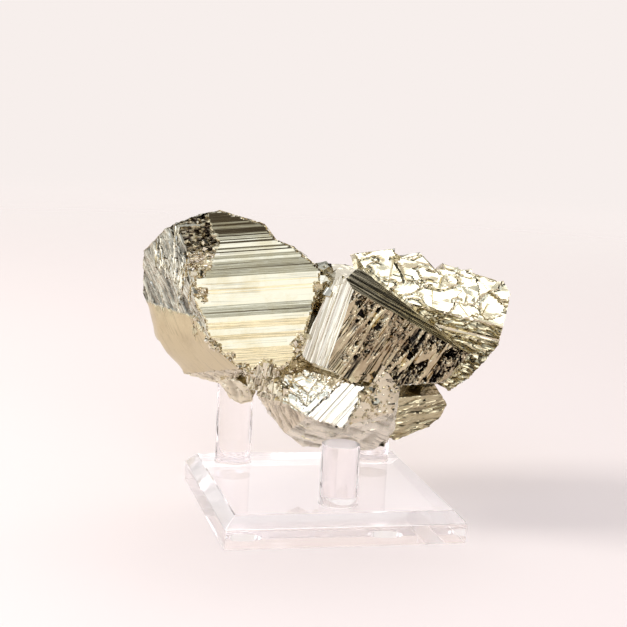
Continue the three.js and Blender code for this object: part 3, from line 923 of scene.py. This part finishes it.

# %% [markdown]
# ## Growth coordinates for the materials
#
# The fine lines of a face run its own way, so a pattern on the object's coordinates can't follow
# them. Unwrapping would lay the faces out in any direction. So each corner's two distances on its
# face become a UV map, in millimetres, and the depth that was cut becomes an attribute, which the
# materials read to paint shade into the grooves.

# %% Write the growth coordinates and the mesh
growth_map = grown.loops.layers.uv.new("growth")
cut_depth = grown.verts.layers.float.new("depth")
for vertex, move in zip(grown.verts, moves):
    vertex[cut_depth] = move.length
for polygon in grown.faces:
    face = GROWTH_FACES[polygon[belongs]]
    for loop in polygon.loops:
        loop[growth_map].uv = face.spot(loop.vert.co)
bmesh.ops.transform(grown, matrix=TO_FRONT.inverted(), verts=grown.verts)
habits = [GROWTH_FACES[polygon[belongs]].habit for polygon in grown.faces]
finishes = [GROWTH_FACES[polygon[belongs]].finish for polygon in grown.faces]
grown.normal_update()
grown.to_mesh(cluster.data)
grown.free()
print("triangles:", sum(len(p.vertices) - 2 for p in cluster.data.polygons))
print("habits:", {h: habits.count(h) for h in sorted(set(habits))})

# %% [markdown]
# ## Pyrite
#
# Pyrite is iron sulphide, with a pale brass-yellow metallic lustre. A clean growth face mirrors
# like polished metal, and what makes it stone are the fine rulings, etch marks and a thin warm
# tarnish. Habits that look alike share a material, and all come from one recipe: the same metal,
# with other rulings and three other tones, the third of them painted shade down in the relief.
# Painting every tone on one material would work too, but separate finishes can be matched face by
# face.

# %% The pyrite recipe
# Real growth lines can be finer still. These are drawn just coarse enough to show.
RULING_MM = 0.7
RULING_LENGTH_MM = 30
STAIN_MM = 9
STAIN_FROM, STAIN_TO = 0.62, 0.9
LINE_FROM, LINE_TO = 0.55, 0.68
LEAST_SHINE, MOST_SHINE = 1.5, 0.7


def pyrite(name, fresh, tarnish, groove, roughness, ruling_depth, lines, stain, groove_at=(0.35, 1.1)):
    """Pyrite with fine growth lines, tarnish in patches, and painted shade down in the relief, in a third
    tone that also colours the lines.
    """
    material, tree, output = new_material(name)
    growth = add(tree, "UVMap", {}, uv_map="growth")
    ruled = add(tree, "Mapping", {
        "Vector": growth.outputs["UV"],
        "Scale": (1 / RULING_LENGTH_MM, 1 / RULING_MM, 1),
    })
    ruling = add(tree, "TexNoise", {
        "Vector": ruled.outputs["Vector"], "Scale": 1.0, "Detail": 3.0, "Roughness": 0.6,
    }, noise_dimensions="2D")
    bump = add(tree, "Bump", {
        "Height": ruling.outputs["Fac"], "Strength": 1.0, "Distance": ruling_depth * MM,
    })
    place = add(tree, "TexCoord", {})
    patches = add(tree, "TexNoise", {
        "Vector": place.outputs["Object"], "Scale": 1 / (STAIN_MM * MM), "Detail": 4.0,
        "Roughness": 0.65,
    })
    patch = add(tree, "MapRange", {
        "Value": patches.outputs["Fac"],
        "From Min": STAIN_FROM - stain,
        "From Max": STAIN_TO - stain,
    })
    # Painted shade: the deeper the cut, the more the groove tone takes over, with some tarnish in its
    # brown.
    depth = add(tree, "Attribute", {}, attribute_name="depth")
    painted_shade = add(tree, "MapRange", {
        "Value": depth.outputs["Fac"], "From Min": groove_at[0], "From Max": groove_at[1],
    })
    line = add(tree, "MapRange", {
        "Value": ruling.outputs["Fac"], "From Min": LINE_FROM, "From Max": LINE_TO, "To Max": lines,
    })
    # The groove tone also draws the fine lines, so the painted shade and the lines share one mask.
    shade_and_lines = add(tree, "Math", {
        0: painted_shade.outputs["Result"], 1: line.outputs["Result"],
    }, operation="MAXIMUM")
    tarnished = add(tree, "Mix", {
        0: patch.outputs["Result"], 6: linear(fresh), 7: linear(tarnish),
    }, data_type="RGBA")
    colour = add(tree, "Mix", {
        0: shade_and_lines.outputs["Value"], 6: tarnished.outputs[2], 7: linear(groove),
    }, data_type="RGBA")
    shine = add(tree, "MapRange", {
        "Value": patches.outputs["Fac"], "From Min": 0.3, "From Max": 0.7,
        "To Min": roughness * MOST_SHINE, "To Max": roughness * LEAST_SHINE,
    })
    shader = add(tree, "BsdfPrincipled", {
        "Base Color": colour.outputs[2],
        "Metallic": 1.0,
        "Roughness": shine.outputs["Result"],
        "Normal": bump.outputs["Normal"],
    })
    tree.links.new(shader.outputs["BSDF"], output.inputs["Surface"])
    return material


# %% Finishes of the clean growth faces
# In every finish the groove colour is painted shade where the relief is cut deep, and also the colour of
# the fine lines.
# A mirror face: clear bands of the room, drawn out along its lines.
MIRROR = pyrite(
    "pyrite_mirror_face", fresh="#D0C4A4", tarnish="#C4B48C", groove="#8C8470",
    roughness=0.09, ruling_depth=0.05, lines=0.5, stain=0.15,
)
# A ruled face: whiter and crisper, with brown lines, and painted shade in the gaps of its ribs.
RULED = pyrite(
    "pyrite_ruled_face", fresh="#DDD7C6", tarnish="#CFC6AE", groove="#726E64",
    roughness=0.09, ruling_depth=0.04, lines=0.35, stain=0.1, groove_at=(0.15, 0.6),
)
# A stepped face: the palest, so that the painted shade in its nested grooves stands out.
STEPPED = pyrite(
    "pyrite_stepped_face", fresh="#F2EAD2", tarnish="#E6DABA", groove="#7E745E",
    roughness=0.1, ruling_depth=0.02, lines=0.2, stain=0.1, groove_at=(0.2, 0.6),
)
# Plates: warm white glints, with painted brown shade in the gaps.
PLATED = pyrite(
    "pyrite_plated_face", fresh="#DDD4B6", tarnish="#CABF9C", groove="#857A62",
    roughness=0.12, ruling_depth=0.02, lines=0.2, stain=0.1, groove_at=(0.45, 1.1),
)
# An etched face: bright ribs over hollows painted almost black as shade, with brown stains.
ETCHED = pyrite(
    "pyrite_etched_face", fresh="#D8CBAA", tarnish="#A08C70", groove="#1E1A18",
    roughness=0.12, ruling_depth=0.02, lines=0.2, stain=0.24, groove_at=(0.1, 0.6),
)

# %% Finishes of the dull, rough and broken faces
# As above, each groove colour is painted shade in the relief's hollows, and the colour of the fine lines.
# A tarnished face: brown-grey and softer, with dark painted shade in its hollows.
TARNISHED = pyrite(
    "pyrite_tarnished_face", fresh="#CABF9E", tarnish="#AEA07E", groove="#564E3E",
    roughness=0.13, ruling_depth=0.02, lines=0.3, stain=0.15, groove_at=(0.4, 1.0),
)
# A face worn smooth: satin, with only a trace of lines.
SMOOTH = pyrite(
    "pyrite_smooth_face", fresh="#C8BB9A", tarnish="#B9AB8C", groove="#7C7462",
    roughness=0.16, ruling_depth=0.015, lines=0.4, stain=0.15,
)
# The worn underside: pale and dull, with grey lines and painted grey shade in its hollows.
WORN = pyrite(
    "pyrite_worn_face", fresh="#E4E0D0", tarnish="#CEC7B2", groove="#6F6757",
    roughness=0.17, ruling_depth=0.14, lines=0.5, stain=0.1, groove_at=(0.45, 1.1),
)
# A crusted face: cool grey glitter, with dark painted shade between its ridges.
CRUSTED = pyrite(
    "pyrite_crusted_face", fresh="#C8C1AD", tarnish="#AFA695", groove="#4E4A42",
    roughness=0.14, ruling_depth=0.02, lines=0.3, stain=0.15, groove_at=(0.3, 1.0),
)
# Chips along a mirror face's rim: the same metal, so that no edge shows around them.
CHIPPED = pyrite(
    "pyrite_chipped_rim", fresh="#D0C4A4", tarnish="#C4B48C", groove="#C9BFB0",
    roughness=0.09, ruling_depth=0.05, lines=0.5, stain=0.15, groove_at=(0.2, 0.8),
)
# The broken corner: the same again, with dark brown in its cracks, both tarnish and painted shade.
BROKEN = pyrite(
    "pyrite_broken_edge", fresh="#D0C4A4", tarnish="#C4B48C", groove="#4A3E33",
    roughness=0.09, ruling_depth=0.05, lines=0.5, stain=0.15, groove_at=(0.1, 1.0),
)
# Crumbs and splinters: small, light and satin, with brown painted shade in their hollows.
CRUMBLY = pyrite(
    "pyrite_crumbs", fresh="#E0D8C2", tarnish="#C8BC9E", groove="#6A5D48",
    roughness=0.18, ruling_depth=0.02, lines=0.2, stain=0.1,
)
# Any other rough face: pale, with painted brown shade in its grooves.
ROUGH = pyrite(
    "pyrite_rough_face", fresh="#DCD3BC", tarnish="#C2B596", groove="#5E5444",
    roughness=0.13, ruling_depth=0.02, lines=0.2, stain=0.1, groove_at=(0.45, 1.1),
)

# %% Give each polygon its finish
FINISH_OF = {
    "mirror": MIRROR, "ruled": RULED, "ribbed": RULED, "smooth": SMOOTH, "worn": WORN,
    "hopper": STEPPED, "plated": PLATED, "striated": TARNISHED, "lined": TARNISHED,
    "ledged": TARNISHED, "etched": ETCHED, "crusted": CRUSTED, "chipped": CHIPPED,
    "shattered": BROKEN, "crumb": CRUMBLY, "splintered": CRUMBLY, "lumpy": CRUMBLY,
}
FINISHES = [
    MIRROR, RULED, SMOOTH, TARNISHED, ETCHED, CRUSTED, CHIPPED, BROKEN, CRUMBLY, ROUGH, PLATED,
    STEPPED, WORN,
]
for material in FINISHES:
    cluster.data.materials.append(material)
for polygon, finish in zip(cluster.data.polygons, finishes):
    polygon.material_index = FINISHES.index(FINISH_OF.get(finish, ROUGH))
    polygon.use_smooth = finish == "smooth"
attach(cluster, "root")
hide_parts("pyrite_cluster")
print("finishes:", len(FINISHES))

# %% [markdown]
# ## The floor
#
# The specimen stands on a broad sheet of matt pale paper that fades into the background. A bent
# sheet would do that as well, but a flat one that turns see-through with distance has no fold to
# show. It lies a hair below the stand, so that the two never share a plane.

# %% Floor
FLOOR_RADIUS, FADE_START, FADE_END = 2.2, 0.16, 1.1
AIR_GAP = 0.1 * MM
bpy.ops.mesh.primitive_circle_add(
    vertices=96, radius=FLOOR_RADIUS, fill_type="NGON", location=(0, 0, -AIR_GAP)
)
floor = bpy.context.object
floor.name = "floor"
paper, tree, output = new_material("floor_paper")
# Matt paper scatters all it gets, and so takes the shadow's soft edge.
matt = add(tree, "BsdfPrincipled", {
    "Base Color": linear("#FBF3F1"),
    "Roughness": 0.6,
    "Specular IOR Level": 0.2,
})
place = add(tree, "TexCoord", {})
away = add(tree, "VectorMath", {0: place.outputs["Object"]}, operation="LENGTH")
fade = add(tree, "MapRange", {
    "Value": away.outputs["Value"], "From Min": FADE_START, "From Max": FADE_END,
}, interpolation_type="SMOOTHSTEP")
gone = add(tree, "BsdfTransparent", {})
sheet = add(tree, "MixShader", {
    0: fade.outputs["Result"], 1: matt.outputs["BSDF"], 2: gone.outputs["BSDF"],
})
tree.links.new(sheet.outputs["Shader"], output.inputs["Surface"])
floor.data.materials.append(paper)
print("floor:", FLOOR_RADIUS, "m in radius")

# %% [markdown]
# ## The lights
#
# A metal shows its lights as mirror images, so each light has a face that mirrors it. The striped
# face mirrors two softboxes in front, the narrow side of the middle crystal mirrors a card at the
# left, the plates mirror a panel at the right, and one more softbox serves the back. The shadow
# needs a small strong light, which would burn out in a mirror face. So the lamp at the left lights
# only what is matt, and the card beside it shows only in what is shiny.

# %% Lights


def softbox(name, azimuth, elevation, distance, size, radiance, colour, mirrored=True, lights_floor=True):
    """A rectangular light aimed at the object, at these angles from the camera's azimuth."""
    place = direction(CAMERA_AZIMUTH + azimuth, elevation)
    bpy.ops.object.light_add(type="AREA", location=AIM + place * distance)
    light = bpy.context.object
    light.name = name
    light.rotation_mode = "QUATERNION"
    light.rotation_quaternion = place.to_track_quat("Z", "Y")
    light.data.shape = "RECTANGLE"
    light.data.size, light.data.size_y = size
    light.data.energy = radiance * math.pi * size[0] * size[1]
    light.data.color = linear(colour)[:3]
    light.visible_camera = False
    light.visible_diffuse = lights_floor
    light.visible_glossy = light.visible_transmission = mirrored
    print(name, "gives", round(light.data.energy, 2), "W")


softbox(
    "key_softbox", azimuth=-20, elevation=41, distance=1.1, size=(0.95, 0.5),
    radiance=1.25, colour="#CFDEFF",
)
softbox(
    "low_softbox", azimuth=-20, elevation=24, distance=1.1, size=(0.95, 0.15),
    radiance=0.98, colour="#FFF9F0",
)
softbox(
    "left_card", azimuth=-80, elevation=16, distance=1.1, size=(0.8, 0.6),
    radiance=0.8, colour="#E6EEFF", lights_floor=False,
)
softbox(
    "left_lamp", azimuth=-82, elevation=27, distance=1.1, size=(0.35, 0.35),
    radiance=21, colour="#FFFBF6", mirrored=False,
)
softbox(
    "right_panel", azimuth=26, elevation=18, distance=1.2, size=(0.72, 0.5),
    radiance=2.05, colour="#EEF3FF",
)
softbox(
    "back_softbox", azimuth=165, elevation=42, distance=1.2, size=(0.9, 0.5),
    radiance=1.6, colour="#FFFFFF",
)

# %% [markdown]
# ## The room
#
# The room is pale near the floor and dark overhead and at the right, because a metal looks like
# metal only when it has something dark to mirror. It could be modelled with walls and a ceiling.
# The world's background does the same with no walls to get in the way of a camera: its tone
# follows the height and the side that a reflection looks to, and the camera sees one plain tone.

# %% The room's tones
BACKDROP, SHADE = "#F7EFEC", "#2A2826"
RIGHT_SIDE = direction(CAMERA_AZIMUTH + 100, 14)
SHADE_FROM, SHADE_TO = 0.4, 0.82
THROUGH_ACRYLIC, LIT_SHARE = 0.3, 0.6
WALL_TONES = [
    (0.0, "#F8F5F3"), (0.34, "#F8F5F3"), (0.82, "#E6EEF8"), (0.875, "#DDE6F0"), (0.91, "#A4A29E"),
    (0.94, "#5C5650"), (1.0, "#2E2A27"),
]
world = bpy.context.scene.world or bpy.data.worlds.new("room")
bpy.context.scene.world = world
world.use_nodes = True
tree = world.node_tree
tree.nodes.clear()
place = add(tree, "TexCoord", {})
parts = add(tree, "SeparateXYZ", {0: place.outputs["Generated"]})
wall = add(tree, "ValToRGB", {"Fac": parts.outputs["Z"]})
while len(wall.color_ramp.elements) < len(WALL_TONES):
    wall.color_ramp.elements.new(0.5)
for element, (height, tone) in zip(wall.color_ramp.elements, WALL_TONES):
    element.position, element.color = height, linear(tone)
turned = add(tree, "VectorMath", {
    0: place.outputs["Generated"], 1: RIGHT_SIDE,
}, operation="DOT_PRODUCT")
shade = add(tree, "MapRange", {
    "Value": turned.outputs["Value"], "From Min": SHADE_FROM, "From Max": SHADE_TO,
}, interpolation_type="SMOOTHSTEP")
room = add(tree, "Mix", {
    0: shade.outputs["Result"], 6: wall.outputs["Color"], 7: linear(SHADE),
}, data_type="RGBA")

# %% What each ray sees of the room
ray = add(tree, "LightPath", {})
through = add(tree, "MapRange", {
    "Value": ray.outputs["Transmission Depth"], "To Min": 1.0, "To Max": THROUGH_ACRYLIC,
})
mirrored = add(tree, "Math", {
    0: ray.outputs["Is Glossy Ray"], 1: through.outputs["Result"],
}, operation="MULTIPLY")
seen = add(tree, "Mix", {
    0: mirrored.outputs["Value"], 6: linear(BACKDROP), 7: room.outputs[2],
}, data_type="RGBA")
lit = add(tree, "MapRange", {
    "Value": ray.outputs["Is Diffuse Ray"], "To Min": 1.0, "To Max": LIT_SHARE,
})
sky = add(tree, "Background", {"Color": seen.outputs[2], "Strength": lit.outputs["Result"]})
surface = tree.nodes.new("ShaderNodeOutputWorld")
tree.links.new(sky.outputs["Background"], surface.inputs["Surface"])
scene = bpy.context.scene
scene.view_settings.view_transform = "Standard"
# Light crosses many acrylic faces, and mirrors often between the crystals, before it leaves.
scene.cycles.max_bounces = 24
scene.cycles.glossy_bounces = 16
scene.cycles.transmission_bounces = 24
print("room tones:", len(WALL_TONES))
